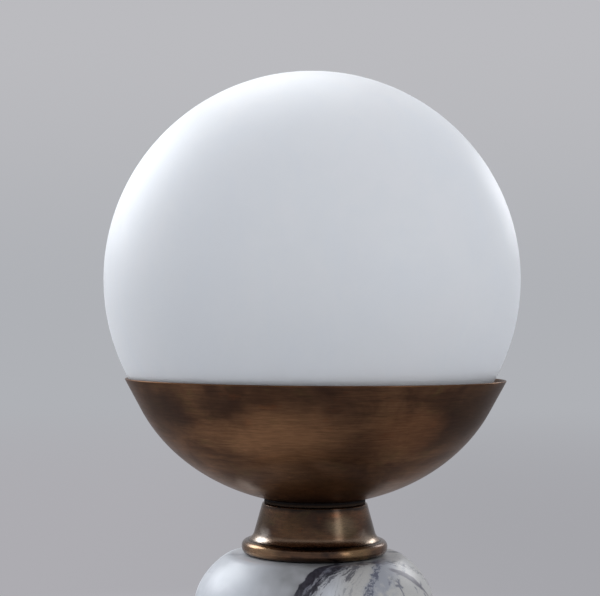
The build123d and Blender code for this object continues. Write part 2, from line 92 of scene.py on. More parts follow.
# the bowl is an ellipse with a straight band under its rim
BOWL_Z = RIM + CENTRE_RISE
BOWL_B = CENTRE_RISE + (RIM - CUP_FLAT) + POLE_DROP
band_share = (CENTRE_RISE + BAND) / BOWL_B
band_root = sqrt(1 - band_share**2)
BOWL_A = RIM_R / (band_root + BAND * band_share / (BOWL_B * band_root))


# ---- outlines and turned meshes
def rounded(points, steps=5, guard=0.25):
    """Corners (r, z, rounding) as outline points (r, z, wear).

    wear is 1 on a rounded corner and 0 beside it. A point at most guard away on each side keeps it off the flats.
    """
    longest_cut = 0.46  # of a side, so that two roundings on it never meet
    out = []
    for i, p in enumerate(points):
        c = Vector(p[:2])
        if len(p) < 3 or p[2] <= 0:
            out.append((p[0], p[1], 0))
            continue
        a, b = Vector(points[i - 1][:2]) - c, Vector(points[(i + 1) % len(points)][:2]) - c
        half = a.angle(b) / 2
        cut = min(p[2] / tan(half), longest_cut * a.length, longest_cut * b.length)
        r = cut * tan(half)
        room_a, room_b = (min(guard, 0.03 * side.length + 0.02) for side in (a, b))
        a.normalize()
        b.normalize()
        centre = c + (a + b).normalized() * (r / sin(half))
        start, end = c + a * cut - centre, c + b * cut - centre
        t0 = atan2(start.y, start.x)
        sweep = (atan2(end.y, end.x) - t0 + pi) % (2 * pi) - pi
        q = c + a * (cut + room_a)
        out.append((q.x, q.y, 0))
        for k in range(steps + 1):
            t = t0 + sweep * k / steps
            out.append((centre.x + r * cos(t), centre.y + r * sin(t), 1))
        q = c + b * (cut + room_b)
        out.append((q.x, q.y, 0))
    return out


def oval(cz, a, b, start, end, count):
    """Points of an ellipse arc centred on the axis at height cz, angles in degrees from the horizontal."""
    out = []
    for k in range(count + 1):
        t = radians(start + (end - start) * k / count)
        out.append((a * cos(t), cz + b * sin(t), 0))
    return out


def closed_at_axis(shape):
    """Points that a cosine left next to the axis, put on it."""
    return [(0 if r < 1e-4 else r, z, w) for r, z, w in shape]


def placed(shape, z, turned_over):
    """An outline moved up to z, or turned over with its old bottom at z."""
    if turned_over:
        return [(r, z - h, w) for r, h, w in reversed(shape)]
    return [(r, z + h, w) for r, h, w in shape]


def add_object(name, data):
    obj = bpy.data.objects.new(name, data)
    bpy.context.scene.collection.objects.link(obj)
    return obj


def new_mesh(name, verts, faces, wear=None):
    """A mesh object from points in mm, smooth but for its sharp edges."""
    sharp_from = 38
    mesh = bpy.data.meshes.new(name)
    mesh.from_pydata([(x * MM, y * MM, z * MM) for x, y, z in verts], [], faces)
    if wear:
        layer = mesh.attributes.new("wear", "FLOAT", "POINT")
        layer.data.foreach_set("value", wear)
    mesh.update()
    mesh.shade_smooth()
    mesh.set_sharp_from_angle(angle=radians(sharp_from))
    return add_object(name, mesh)


def lathe(name, outline, segments, dx=0, relief=None, along_y=None):
    """Turns a closed outline, anticlockwise in (r, z), about an upright axis at x = dx.

    relief(angle, r, z) adds to the radius. along_y lays the axis along +Y at that height instead.
    """
    verts, wear, rings, faces = [], [], [], []
    for r, z, w in outline:
        start = len(verts)
        count = 1 if r < 1e-6 else segments
        for j in range(count):
            t = 2 * pi * j / segments
            q = r + (relief(t, r, z) if relief and count > 1 else 0)
            if along_y is None:
                verts.append((dx + q * cos(t), q * sin(t), z))
            else:
                verts.append((q * cos(t), z, along_y - q * sin(t)))
            wear.append(w)
        rings.append(range(start, start + count))
    for a, b in zip(rings, rings[1:] + rings[:1]):
        for j in range(segments):
            k = (j + 1) % segments
            if len(a) == 1 and len(b) == 1:
                break
            if len(a) == 1:
                faces.append((a[0], b[k], b[j]))
            elif len(b) == 1:
                faces.append((a[j], a[k], b[0]))
            else:
                faces.append((a[j], a[k], b[k], b[j]))
    return new_mesh(name, verts, faces, wear)


def turned_piece(name, outline, segments, material, slot, node, body="lamp", **how):
    """A lathe piece in its material, which takes the place of a CAD node."""
    obj = lathe(name, outline, segments, **how)
    obj.data.materials.append(material)
    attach(obj, body)
    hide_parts(node)


# ---- materials: their colours are sRGB triples, 0 to 255
def srgb(r, g, b, brighter=1, lift=0):
    """An sRGB colour as linear values, made brighter where asked."""
    linear = (((v / 255 + 0.055) / 1.055) ** 2.4 if v > 10 else v / 3294.6 for v in (r, g, b))
    return (*(min(1, v * brighter + lift) for v in linear), 1)


class Nodes:
    """Short calls for the nodes that the materials and the world are made of."""

    def __init__(self, tree):
        self.tree = tree

    def add(self, kind, inputs=None, **settings):
        node = self.tree.nodes.new(kind)
        for key, value in settings.items():
            setattr(node, key, value)
        for key, value in (inputs or {}).items():
            self.join(value, node.inputs[key])
        return node

    def join(self, value, socket):
        if isinstance(value, bpy.types.NodeSocket):
            self.tree.links.new(value, socket)
        else:
            socket.default_value = value

    def vector(self, operation, *values, scale=None):
        inputs = dict(enumerate(values))
        if scale is not None:
            inputs["Scale"] = scale
        node = self.add("ShaderNodeVectorMath", inputs, operation=operation)
        return node.outputs["Value" if operation in ("LENGTH", "DOT_PRODUCT") else "Vector"]

    def math(self, operation, *values, clamp=False):
        inputs = dict(enumerate(values))
        return self.add("ShaderNodeMath", inputs, operation=operation, use_clamp=clamp).outputs[0]

    def product(self, *values):
        out, *others = values
        for value in others:
            out = self.math("MULTIPLY", out, value)
        return out

    def average(self, a, b):
        return self.math("ADD", self.product(a, 0.5), self.product(b, 0.5))

    def split(self, vector):
        return self.add("ShaderNodeSeparateXYZ", {0: vector}).outputs

    def pack(self, x, y, z):
        return self.add("ShaderNodeCombineXYZ", {0: x, 1: y, 2: z}).outputs[0]

    def noise(self, vector, scale, detail=3, rough=0.5, distortion=0, colour=False):
        inputs = {"Vector": vector, "Scale": scale, "Detail": detail, "Roughness": rough, "Distortion": distortion}
        return self.add("ShaderNodeTexNoise", inputs).outputs["Color" if colour else "Fac"]

    def wander(self, vector, scale, reach, detail=3, rough=0.55):
        """The place, moved about by noise: reach is how far in mm, from end to end."""
        any_way = self.noise(vector, scale, detail, rough, colour=True)
        drift = self.vector("SUBTRACT", any_way, (0.5, 0.5, 0.5))
        return self.vector("ADD", vector, self.vector("SCALE", drift, scale=reach))

    def cell_edge(self, vector, scale):
        """Distance to the nearest edge between random cells."""
        node = self.add("ShaderNodeTexVoronoi", {"Vector": vector, "Scale": scale}, feature="DISTANCE_TO_EDGE")
        return node.outputs["Distance"]

    def span(self, value, low, high, to_low=0, to_high=1, smooth=True):
        """The value between low and high, turned into to_low to to_high and held there outside."""
        inputs = {"Value": value, "From Min": low, "From Max": high, "To Min": to_low, "To Max": to_high}
        kind = "SMOOTHSTEP" if smooth else "LINEAR"
        return self.add("ShaderNodeMapRange", inputs, interpolation_type=kind).outputs["Result"]

    def mix(self, amount, a, b, blend="MIX"):
        """Colour a, turned into b by the amount. Sockets 6, 7 and output 2 are the node's colours."""
        a, b = (srgb(*c) if isinstance(c, tuple) else c for c in (a, b))
        return self.add("ShaderNodeMix", {0: amount, 6: a, 7: b}, data_type="RGBA", blend_type=blend).outputs[2]

    def bump(self, height, strength, distance, normal=None):
        node = self.add("ShaderNodeBump", {"Height": height, "Strength": strength, "Distance": distance * MM})
        if normal is not None:
            self.join(normal, node.inputs["Normal"])
        return node.outputs["Normal"]


class Material(Nodes):
    """A node material on the Principled shader. place is the point on the object in mm."""

    def __init__(self, name, **constants):
        self.data = bpy.data.materials.new(name)
        self.data.use_nodes = True
        super().__init__(self.data.node_tree)
        self.shader = self.tree.nodes["Principled BSDF"]
        self.shader.inputs["Subsurface Radius"].default_value = (1, 1, 1)
        for key, value in constants.items():
            self.shader.inputs[key.replace("_", " ")].default_value = value
        self.object = self.add("ShaderNodeTexCoord").outputs["Object"]
        self.place = self.vector("SCALE", self.object, scale=1 / MM)

    def set(self, name, value):
        self.join(value, self.shader.inputs[name])

    def wear(self):
        """1 on rounded edges, 0 elsewhere."""
        return self.add("ShaderNodeAttribute", attribute_name="wear").outputs["Fac"]

    def from_height(self, height):
        """Distance in mm above or below a height."""
        return self.math("ABSOLUTE", self.math("SUBTRACT", self.split(self.place)[2], height))

    def turned(self, per_mm, round_count, tilt):
        """Coordinates that run round the axis: fine lines along a ring, dense across it."""
        x, y, z = self.split(self.place)
        flat = self.pack(x, y, 0)
        radius = self.vector("LENGTH", flat)
        around = self.vector("SCALE", self.vector("NORMALIZE", flat), scale=round_count)
        ax, ay, _ = self.split(around)
        across = self.product(self.math("MULTIPLY_ADD", radius, tilt, z), per_mm)
        return self.pack(ax, ay, across)


BROWN, UMBER, OLIVE = (116, 83, 58), (76, 51, 35), (98, 80, 49)
DEEP, COPPER, RUST = (60, 41, 31), (150, 106, 72), (112, 66, 38)
# the dark of a joint: dirt, and painted shade where the cup overhangs the bell
POLISHED, DIRT_AND_SHADE_DARK = (160, 140, 120), (26, 19, 15)


def bronze_patina(m, cloud, blot, tilt):
    """The cloudy browns of the bare patina."""
    bands = m.noise(m.turned(0.55, 1.3, tilt), 1, 3, 0.6)
    colour = m.mix(m.span(cloud, 0.38, 0.64), UMBER, BROWN)
    colour = m.mix(m.span(blot, 0.52, 0.72, 0, 0.55), colour, OLIVE)
    colour = m.mix(m.span(blot, 0.28, 0.42, 0.5, 0), colour, RUST)
    return m.mix(m.span(bands, 0.35, 0.7, 0, 0.35), colour, DEEP)


def bronze_marks(m, colour, blot, painted_patches, polish, dirt_and_shade):
    """Placed clouds of painted light and shade, coves rubbed bright, and dark joints on the patina, whose dark is
    partly painted shade.
    """
    loose = m.wander(m.place, 0.05, 16)
    # placed clouds of painted light and shade: highlights, reflections and shade laid into the colour
    for centre, size, tint, amount in painted_patches:
        off_centre = m.vector("MULTIPLY", m.vector("SUBTRACT", loose, centre), (1, 1, 1.5))
        inside = m.span(m.vector("LENGTH", off_centre), 0.25 * size, size, amount, 0)
        colour = m.mix(inside, colour, tint)
    for height, reach in polish:
        colour = m.mix(m.span(m.from_height(height), 0.4 * reach, reach, 0.35, 0), colour, POLISHED)
    # darkening at a joint: dirt, and painted shade where one part overhangs another
    for height, reach in dirt_and_shade:
        uneven = m.product(m.math("SUBTRACT", blot, 0.5), reach)
        gap = m.math("ADD", m.from_height(height), uneven)
        colour = m.mix(m.span(gap, 0.25 * reach, reach, 0.92, 0), colour, DIRT_AND_SHADE_DARK)
    return colour


def bronze_material(name, tilt, shift=0, lift=1, round_lines=5, coat=0.25, gloss=0.30,
                    painted_patches=(), polish=(), dirt_and_shade=()):
    """Dark bronze, brushed on the lathe, with a cloudy brown patina under clear lacquer.

    painted_patches are (centre, size, colour, amount) of placed clouds of painted light and shade, polish is
    (height, reach) of a cove rubbed bright, and dirt_and_shade that of the dark in a joint: dirt, and painted
    shade under the cup.
    """
    m = Material(name, Metallic=1, Anisotropic=0.35, Anisotropic_Rotation=0.25,
                 Coat_Weight=coat, Coat_Roughness=0.22)
    m.set("Specular Tint", (0.62, 0.56, 0.52, 1))
    m.set("Tangent", m.add("ShaderNodeTangent", direction_type="RADIAL", axis="Z").outputs[0])
    place = m.vector("ADD", m.place, (shift, -shift * 0.7, shift * 0.3))
    cloud = m.noise(m.vector("MULTIPLY", place, (1, 1, 1.7)), 0.026, 4, 0.58, 0.6)
    blot = m.noise(m.vector("MULTIPLY", place, (1, 1, 2)), 0.075, 4, 0.62, 0.4)
    strokes = m.noise(m.turned(1.25, round_lines * 1.9, tilt), 1, 3, 0.6, 0.5)
    lines = m.noise(m.turned(3.4, round_lines * 2.2, tilt), 1, 2, 0.6, 0.3)
    fine = m.noise(m.turned(8, round_lines * 5, tilt), 1, 2, 0.65, 0.4)
    streak = m.average(lines, fine)

    colour = bronze_patina(m, cloud, blot, tilt)
    colour = bronze_marks(m, colour, blot, painted_patches, polish, dirt_and_shade)
    shade = m.span(m.average(strokes, streak), 0.32, 0.68, 0.6 * lift, 1.4 * lift, smooth=False)
    colour = m.mix(1, colour, m.pack(shade, shade, shade), "MULTIPLY")
    rubbed = m.span(m.noise(m.turned(0.3, 7, tilt), 1), 0.3, 0.62)
    worn = m.math("MULTIPLY", m.wear(), rubbed, clamp=True)
    m.set("Base Color", m.mix(m.product(worn, 0.3), colour, COPPER))

    rough = m.math("ADD", m.span(cloud, 0.3, 0.7, 0.08, 0), m.span(streak, 0.3, 0.7, -0.04, 0.06))
    rough = m.math("ADD", rough, gloss)
    m.set("Roughness", m.math("SUBTRACT", rough, m.product(worn, 0.05), clamp=True))
    m.set("Normal", m.bump(streak, 0.16, 0.05, m.bump(blot, 0.05, 0.25)))
    return m.data


def bowl_painted_light():
    """Clouds about the cup's front, all painted light: dark ones painted shade, warm ones painted reflections of
    the lit floor, pale ones low at left and right painted reflections of the marble.
    """
    top = RIM - 8
    return (
        ((-43, -75.6, top), 19, DEEP, 0.65),
        ((4, -86, top + 1), 22, DEEP, 0.5),
        ((-68, -48, top - 4), 26, (54, 40, 34), 0.75),
        ((70, -46, top - 8), 40, (50, 34, 26), 0.85),
        ((18, -73, RIM - 28), 18, UMBER, 0.5),
        ((-14, -76, RIM - 27), 34, (156, 114, 80), 0.75),
        ((-33, -39, RIM - 50), 13, (186, 168, 152), 0.6),
        ((34, -37, RIM - 49), 13, (160, 142, 126), 0.4),
        ((41, -69, RIM - 22), 27, (124, 84, 56), 0.5),
        ((-2, -53, RIM - 46), 26, (132, 94, 64), 0.7),
    )


def bell_painted_light():
    """Clouds on the front of the upper bell, all painted light: pale ones in its cove at two sides and one right
    of the neck's middle are painted highlights, the browner and darker ones on the neck painted shade.
    """
    middle = (UPPER_BELL + BELL_TOP) / 2
    cove = UPPER_BELL + 1.6
    return (
        ((-30, -18, cove), 13, (208, 200, 192), 0.9),
        ((30, -17, cove), 12, (190, 176, 160), 0.85),
        ((-10, -26, middle), 10, (98, 70, 44), 0.6),
        ((13, -25, middle - 1), 12, (130, 112, 88), 0.6),
        ((27, -8, middle - 3), 13, (48, 35, 25), 0.8),
        ((-26, -12, middle), 13, (60, 47, 31), 0.75),
    )


def bead_painted_light():
    """Painted light on the bead: painted shade darkens its front, and golden clouds at its two sides are painted
    highlights.
    """
    middle = UPPER_BEAD + BEAD_HEIGHT / 2
    return (
        ((0, -35, middle), 24, DEEP, 0.8),
        ((21, -28, middle), 13, (166, 134, 92), 0.75),
        ((-27, -22, middle), 14, (186, 150, 112), 0.8),
    )


def opal_material():
    """White opal glass with a satin outside: milky, a little uneven, with the faintest orange peel."""
    m = Material("opal_glass", Subsurface_Weight=1, Subsurface_Scale=0.005)
    drift = m.noise(m.place, 0.016, 3, 0.5, 0.4)
    smoke = m.noise(m.vector("MULTIPLY", m.place, (1, 1, 0.45)), 0.055, 4, 0.6, 0.7)
    peel = m.noise(m.place, 1.3, 2)
    ripple = m.noise(m.place, 0.12, 2)
    colour = m.mix(m.span(drift, 0.36, 0.66), (242, 244, 247), (246, 247, 249))
    colour = m.mix(m.span(smoke, 0.42, 0.72, 0, 0.3), colour, (238, 242, 249))
    m.set("Base Color", colour)
    rough = m.math("ADD", m.span(smoke, 0.3, 0.7, 0.46, 0.54), m.span(peel, 0.3, 0.7, -0.02, 0.02))
    m.set("Roughness", rough)
    m.set("Normal", m.bump(peel, 0.05, 0.03, m.bump(ripple, 0.05, 0.25)))
    return m.data


class Vein:
    """A sheet through the stone, bent along its run, whose trace on the surface is a vein.

    across is the signed distance from it in mm, along the way along its run, deep the third direction.
    """

    def __init__(self, m, stone, through, normal, run, bend=0):
        n = Vector(normal).normalized()
        t = Vector(run).normalized()
        offset = m.vector("SUBTRACT", stone, through)
        self.m = m
        self.along = m.vector("DOT_PRODUCT", offset, tuple(t))
        self.deep = m.vector("DOT_PRODUCT", offset, tuple(n.cross(t)))
        flat = m.vector("DOT_PRODUCT", offset, tuple(n))
        self.across = m.math("SUBTRACT", flat, m.product(self.along, self.along, bend))

    def fibres(self, scale, drawn, shift=0):
        """Noise drawn out along the run."""
        m = self.m
        down = m.math("MULTIPLY_ADD", self.along, drawn, shift)
        return m.noise(m.pack(self.across, down, m.product(self.deep, 0.6)), scale, 4, 0.62)

    def fragments(self, fibres, density, edge=0.08):
        """Dark fragments of the fibres: all dark at density 1, half of them at a half, none at 0."""
        m = self.m
        level = m.math("MULTIPLY_ADD", m.math("SUBTRACT", density, 0.5), 0.62, fibres)
        return m.span(level, 0.5 - edge / 2, 0.5 + edge / 2)

    def window(self, value, start, full, fade, end):
        """Rises from 0 to 1 between start and full, and falls from fade to end."""
        m = self.m
        return m.product(m.span(value, start, full), m.span(value, fade, end, 1, 0))

    def body(self, start, full, fade, end):
        """1 inside the vein, by the distance across it."""
        return self.window(self.across, start, full, fade, end)

    def reach(self, start, full, fade, end):
        """1 on the vein's length, by the way along it."""
        return self.window(self.along, start, full, fade, end)


def broad_vein(m, bent, torn):
    """The vein that comes from under the bead ring and runs down to the left.

    It is sharp at its left and frayed at its right, where fine combs hang from it. The stone beside it is made
    grey at the front only: painted shade.
    """
    vein = Vein(m, torn, (-2.4, -45.8, 22), (0.792, -0.486, -0.372), (0.61, 0.60, 0.515), 0.007)
    wisps = vein.fibres(0.9, 0.12, shift=40)
    thin = m.span(vein.along, 14, 24, 1, 0.1)
    body = m.product(vein.body(-1.8, 0.8, 5.5, 12), thin)
    edge = m.product(vein.body(-1.4, 0.4, 1, 3.6), thin)
    fill = m.product(vein.body(-0.9, 0.6, 4, 9), m.span(wisps, 0.34, 0.6, 0.45, 1), thin)
    density = m.math("MULTIPLY_ADD", body, 0.54, m.product(edge, 0.28))
    dark = vein.fragments(vein.fibres(0.5, 0.16), density, 0.14)
    frayed = m.product(vein.body(2, 6, 8, 16), 0.46)
    combs = vein.fragments(vein.fibres(1.1, 0.1, shift=80), frayed)
    front = m.span(m.split(bent)[1], -34, -16, 1, 0)
    painted_front_shade = m.product(vein.body(-30, -5, 2, 16), front)
    return painted_front_shade, fill, combs, dark


def second_strand(m, torn):
    """A thinner strand at the right of the broad vein: pale threads, and dark fragments among them."""
    vein = Vein(m, torn, (16, -41.5, 22.5), (0.904, -0.18, -0.384), (0.372, 0.768, 0.517), 0.01)
    threads = m.span(vein.fibres(1, 0.06, shift=30), 0.52, 0.62)
    threads = m.product(threads, vein.body(-6, -1, 3, 8))
    tuft = m.product(vein.body(-2.2, 0, 0.6, 3.2), vein.reach(-14, 2, 14, 20))
    return threads, vein.fragments(vein.fibres(0.8, 0.14), m.product(tuft, 0.66), 0.14)


def blue_veins(m, bent, torn, rightward):
    """Blue-grey veins further right: a crooked trunk with a wash beside it, and a few twigs."""
    crooked = m.wander(bent, 0.12, 9)
    trunk = Vein(m, crooked, (26, -40, 19.5), (0.94, -0.10, -0.32), (0.16, -0.75, -0.64))
    off_middle = m.math("ABSOLUTE", trunk.along)
    bark = m.product(trunk.body(-2.8, -0.6, 0.8, 4), m.span(off_middle, 14, 24, 1, 0))
    dark = trunk.fragments(trunk.fibres(0.7, 0.5), m.product(bark, 0.56), 0.16)
    wash = m.product(trunk.body(-3, 0.5, 7, 15), m.span(m.noise(bent, 0.11, 4, 0.6), 0.4, 0.56),
                     m.span(off_middle, 16, 30, 1, 0))
    ridge = m.span(m.cell_edge(m.vector("MULTIPLY", torn, (1, 1, 0.55)), 0.085), 0, 0.07, 1, 0)
    twigs = m.product(ridge, m.span(m.noise(torn, 0.12, 4, 0.6), 0.5, 0.6), m.span(rightward, 14, 22),
                      m.span(m.split(bent)[1], -14, 2, 1, 0))
    return wash, m.math("MAXIMUM", twigs, dark)


def dark_arc(m, bent, grain):
    """A thin dark arc at the far right, broadest near its middle."""
    arc = Vein(m, bent, (45.4, -23.8, 16.6), (0.088, -0.825, -0.557), (0.737, 0.429, -0.519), 0.0037)
    width = m.span(m.math("ABSOLUTE", m.math("ADD", arc.along, 3)), 0, 17, 1, 0.15)
    off_line = m.math("ABSOLUTE", m.math("ADD", arc.across, m.math("SUBTRACT", grain, 0.5)))
    inside = m.math("SUBTRACT", m.product(width, 2.1), off_line)
    return m.product(m.span(inside, -0.6, 0.6), arc.reach(-15, -11, 20, 60))


def back_veins(m, bent, torn):
    """Hair lines and two frayed veins through the rest of the stone, which show at its left and back."""
    back = m.span(m.split(bent)[1], -18, 8)
    drift = m.noise(m.vector("ADD", bent, (0, 60, 20)), 0.02, 3, 0.45)
    hair = m.span(m.math("ABSOLUTE", m.math("SUBTRACT", drift, 0.5)), 0, 0.012, 1, 0)
    cross = Vein(m, torn, (-12, 38, 10), (0.62, 0.45, 0.64), (-0.55, 0.83, -0.05), 0.008)
    fill = m.product(cross.body(-1.5, 1.5, 3, 11), m.span(cross.fibres(0.5, 0.14), 0.36, 0.6), back)
    density = m.product(cross.body(-2, 0.8, 2, 9), 0.6)
    cross_dark = cross.fragments(cross.fibres(0.5, 0.16, shift=15), density)
    far = Vein(m, torn, (30, 34, -6), (0.80, -0.52, 0.30), (0.35, 0.05, -0.93), 0.006)
    density = m.product(far.body(-2.4, 0, 0.8, 5.5), 0.58)
    far_dark = far.fragments(far.fibres(0.6, 0.16), density)
    return m.product(hair, back), fill, m.product(m.math("MAXIMUM", cross_dark, far_dark), back)


def marble_material():
    """Satin white marble: clean at the left, a dark fibrous vein down the front, blue-grey veins at the right."""
    m = Material("veined_marble", Subsurface_Weight=0.1, Subsurface_Scale=0.003)
    whole = m.vector("SUBTRACT", m.place, (0, 0, MARBLE_MIDDLE))
    bent = m.wander(whole, 0.05, 6)
    torn = m.wander(bent, 0.26, 2.6, 4, 0.62)
    cloud = m.noise(bent, 0.04, rough=0.55)
    grain = m.noise(whole, 0.6, 5, 0.7)
    speck = m.noise(whole, 2.2, 3, 0.6)
    rightward = m.vector("DOT_PRODUCT", bent, (0.95, 0.20, -0.24))
    right = m.span(rightward, -9, 4)
    painted_front_shade, broad_fill, combs, broad_dark = broad_vein(m, bent, torn)
    threads, strand_dark = second_strand(m, torn)
    wash, blue = blue_veins(m, bent, torn, rightward)
    hair, cross_fill, back_dark = back_veins(m, bent, torn)
    colour = m.mix(m.span(cloud, 0.40, 0.62), (226, 228, 232), (214, 217, 221))
    layers = (
        (right, 0.85, (198, 195, 188)),
        # painted shade: grey beside the broad vein, at the stone's front only
        (painted_front_shade, m.span(cloud, 0.3, 0.55, 0.6, 0.95), (140, 140, 140)),
        (right, m.span(speck, 0.45, 0.7, 0, 0.5), (172, 172, 170)),
        (wash, 0.6, (144, 150, 166)),
        (threads, 0.55, (134, 134, 140)),
        (blue, 0.8, (80, 84, 106)),
        (hair, 0.7, (120, 122, 132)),
        (cross_fill, 0.6, (136, 138, 146)),
        (back_dark, 0.8, (72, 72, 83)),
        (dark_arc(m, bent, grain), 0.85, (96, 92, 104)),
        (broad_fill, 0.85, (106, 107, 120)),
        (m.math("MAXIMUM", combs, strand_dark), 0.75, (70, 69, 80)),
        (broad_dark, 0.95, m.mix(m.span(grain, 0.4, 0.6), (34, 33, 42), (56, 54, 64))),
    )
    for amount, strength, tint in layers:
        colour = m.mix(m.product(amount, strength), colour, tint)
    m.set("Base Color", colour)
    m.set("Roughness", m.span(grain, 0.3, 0.7, 0.30, 0.38))
    m.set("Normal", m.bump(m.noise(whole, 0.8), 0.02, 0.05))
    return m.data


def speckled(name, light, dark, scale, rough, bump=0.1, depth=0.05, shade_ramp=None, **constants):
    """A finely mottled surface: moulded, cast, plated, fired or pressed, by its scale and roughness.

    shade_ramp is (height, reach, colour): a tint that is full at that height and fades out above it. Its one use
    is painted light: brown low on the seat ring, a ramp out of the shade under the cup.
    """
    m = Material(name, **constants)
    coarse = m.noise(m.place, scale * 0.12, 3, 0.55)
    fine = m.noise(m.place, scale, 4, 0.6)
    both = m.average(coarse, fine)
    colour = m.mix(m.span(both, 0.34, 0.66), dark, light)
    if shade_ramp:
        height, reach, tint = shade_ramp
        colour = m.mix(m.span(m.split(m.place)[2], height, height + reach, 1, 0), colour, tint)
    worn = m.product(m.wear(), m.span(fine, 0.35, 0.6, 0.1, 0.4))
    brighter = (*light, 1.35, 0.02)
    m.set("Base Color", m.mix(worn, colour, brighter))
    m.set("Roughness", m.span(both, 0.3, 0.7, *rough))
    m.set("Normal", m.bump(fine, bump, depth))
    return m.data


def turned_metal(name, light, dark, per_mm, rough, thread=None):
    """Bright or plated metal with fine lathe lines, and a fine screw thread where a pitch is given."""
    m = Material(name, Metallic=1)
    lines = m.noise(m.turned(per_mm, 5, 0.8), 1, 3, 0.6)
    spots = m.noise(m.place, 0.4, 4, 0.6)
    colour = m.mix(m.span(lines, 0.3, 0.7), dark, light)
    m.set("Base Color", m.mix(m.span(spots, 0.55, 0.75, 0, 0.35), colour, dark))
    m.set("Roughness", m.span(m.average(lines, spots), 0.3, 0.7, *rough))
    normal = m.bump(lines, 0.12, 0.03)
    if thread:
        x, y, z = m.split(m.place)
        turn = m.math("SUBTRACT", m.product(z, 2 * pi / thread), m.math("ARCTAN2", y, x))
        normal = m.bump(m.math("SINE", turn), 0.9, 0.22, normal)
    m.set("Normal", normal)
    return m.data


def felt_material():
    """Dark wool felt, its fibres lying across each other."""
    m = Material("felt", Sheen_Weight=0.6, Sheen_Roughness=0.6, Specular_IOR_Level=0.15)
    fibres = m.noise(m.vector("MULTIPLY", m.place, (1, 0.35, 1)), 2.6, 5, 0.75, 1.4)
    other = m.noise(m.vector("MULTIPLY", m.place, (0.4, 1, 1)), 2.1, 5, 0.75, 1.8)
    nap = m.noise(m.place, 0.05)
    both = m.math("MAXIMUM", fibres, other)
    colour = m.mix(m.span(both, 0.45, 0.75), (30, 29, 29), (66, 64, 63))
    m.set("Base Color", m.mix(m.span(nap, 0.35, 0.65, 0, 0.4), colour, (44, 41, 39)))
    m.set("Roughness", m.span(both, 0.3, 0.8, 0.85, 1))
    m.set("Normal", m.bump(both, 0.6, 0.3))
    return m.data


# the cup darkens at its flat, over the bell: painted shade
bronze_cup = bronze_material("bronze_cup", tilt=0.35, lift=1.08, coat=0.16, painted_patches=bowl_painted_light(),
                             dirt_and_shade=((CUP_FLAT, 4),))
# the bell darkens at its top, under the cup: painted shade; its other joints get dirt
bronze_bell = bronze_material(
    "bronze_bell", tilt=0.15, shift=37, lift=0.97, round_lines=3.5, coat=0.45, gloss=0.24,
    painted_patches=bell_painted_light(), polish=((UPPER_BELL + 1.6, 2.6), (LOWER_BEAD - 1.6, 2.6)),
    dirt_and_shade=((BELL_TOP, 2.8), (UPPER_BELL, 0.7), (BASE_TOP, 2), (LOWER_BEAD, 0.7)))
bronze_bead = bronze_material("bronze_bead", tilt=0.15, shift=71, lift=0.8, round_lines=3.5, coat=0.6,
                              gloss=0.22, painted_patches=bead_painted_light())
bronze_base = bronze_material("bronze_base", tilt=1, shift=113, round_lines=5.5)
opal = opal_material()
marble = marble_material()

RUBBER = (24, 17, 16), (15, 11, 10), 0.8, (0.75, 0.9), 0.25, 0.08
rubber = speckled("black_rubber", *RUBBER, Specular_IOR_Level=0.15)
# seat ring: the brown at its lower edge is painted light, a ramp out of the shade under the cup onto the bell
seat_rubber = speckled("seat_rubber", *RUBBER, (BELL_TOP, 1.6, (62, 46, 33)), Specular_IOR_Level=0.15)
silicone = speckled("silicone", (222, 222, 216), (206, 206, 199), 0.5, (0.35, 0.5),
                    Subsurface_Weight=0.3, Subsurface_Scale=0.002)
zinc = turned_metal("zinc_steel", (214, 215, 212), (168, 170, 168), 2.4, (0.28, 0.46))
rod_steel = turned_metal("threaded_rod", (208, 209, 206), (160, 161, 160), 2.4, (0.25, 0.42), 1)
iron = speckled("cast_iron", (88, 87, 86), (58, 57, 57), 1.1, (0.55, 0.78), 0.5, 0.25, Metallic=0.7)
painted = speckled("dark_lacquer", (66, 59, 53), (52, 46, 41), 0.7, (0.34, 0.46), 0.15, 0.06,
                   Metallic=0.4)
nylon_black = speckled("black_nylon", (40, 39, 39), (29, 28, 28), 1.2, (0.42, 0.58), 0.2, 0.05)
nylon_white = speckled("natural_nylon", (224, 222, 214), (208, 206, 197), 0.8, (0.42, 0.56), 0.15)
holder_white = speckled("holder_plastic", (232, 229, 220), (221, 218, 208), 0.9, (0.30, 0.42), 0.12, 0.04)
porcelain = speckled("porcelain", (236, 233, 226), (224, 221, 212), 0.9, (0.45, 0.65), 0.2, 0.06)
brass = turned_metal("contact_brass", (222, 190, 120), (176, 140, 78), 3, (0.2, 0.36))
nickel = turned_metal("nickel_cap", (222, 220, 216), (186, 184, 180), 3.5, (0.16, 0.3))
tin = speckled("tinned_tip", (206, 203, 196), (158, 154, 146), 1.6, (0.28, 0.5), 0.4, 0.1, Metallic=1)
black_glass = speckled("black_glass", (30, 29, 31), (18, 17, 19), 0.5, (0.08, 0.16), 0.08, 0.04)
bulb_white = speckled("bulb_plastic", (240, 239, 236), (230, 229, 226), 1, (0.34, 0.46), 0.15, 0.04)
frosted = speckled("frosted_diffuser", (244, 243, 240), (236, 235, 231), 1.4, (0.32, 0.42), 0.1, 0.03,
                   Subsurface_Weight=0.4, Subsurface_Scale=0.004)
board = speckled("coated_board", (234, 233, 226), (218, 217, 208), 1.3, (0.3, 0.45), 0.2, 0.04)
felt = felt_material()


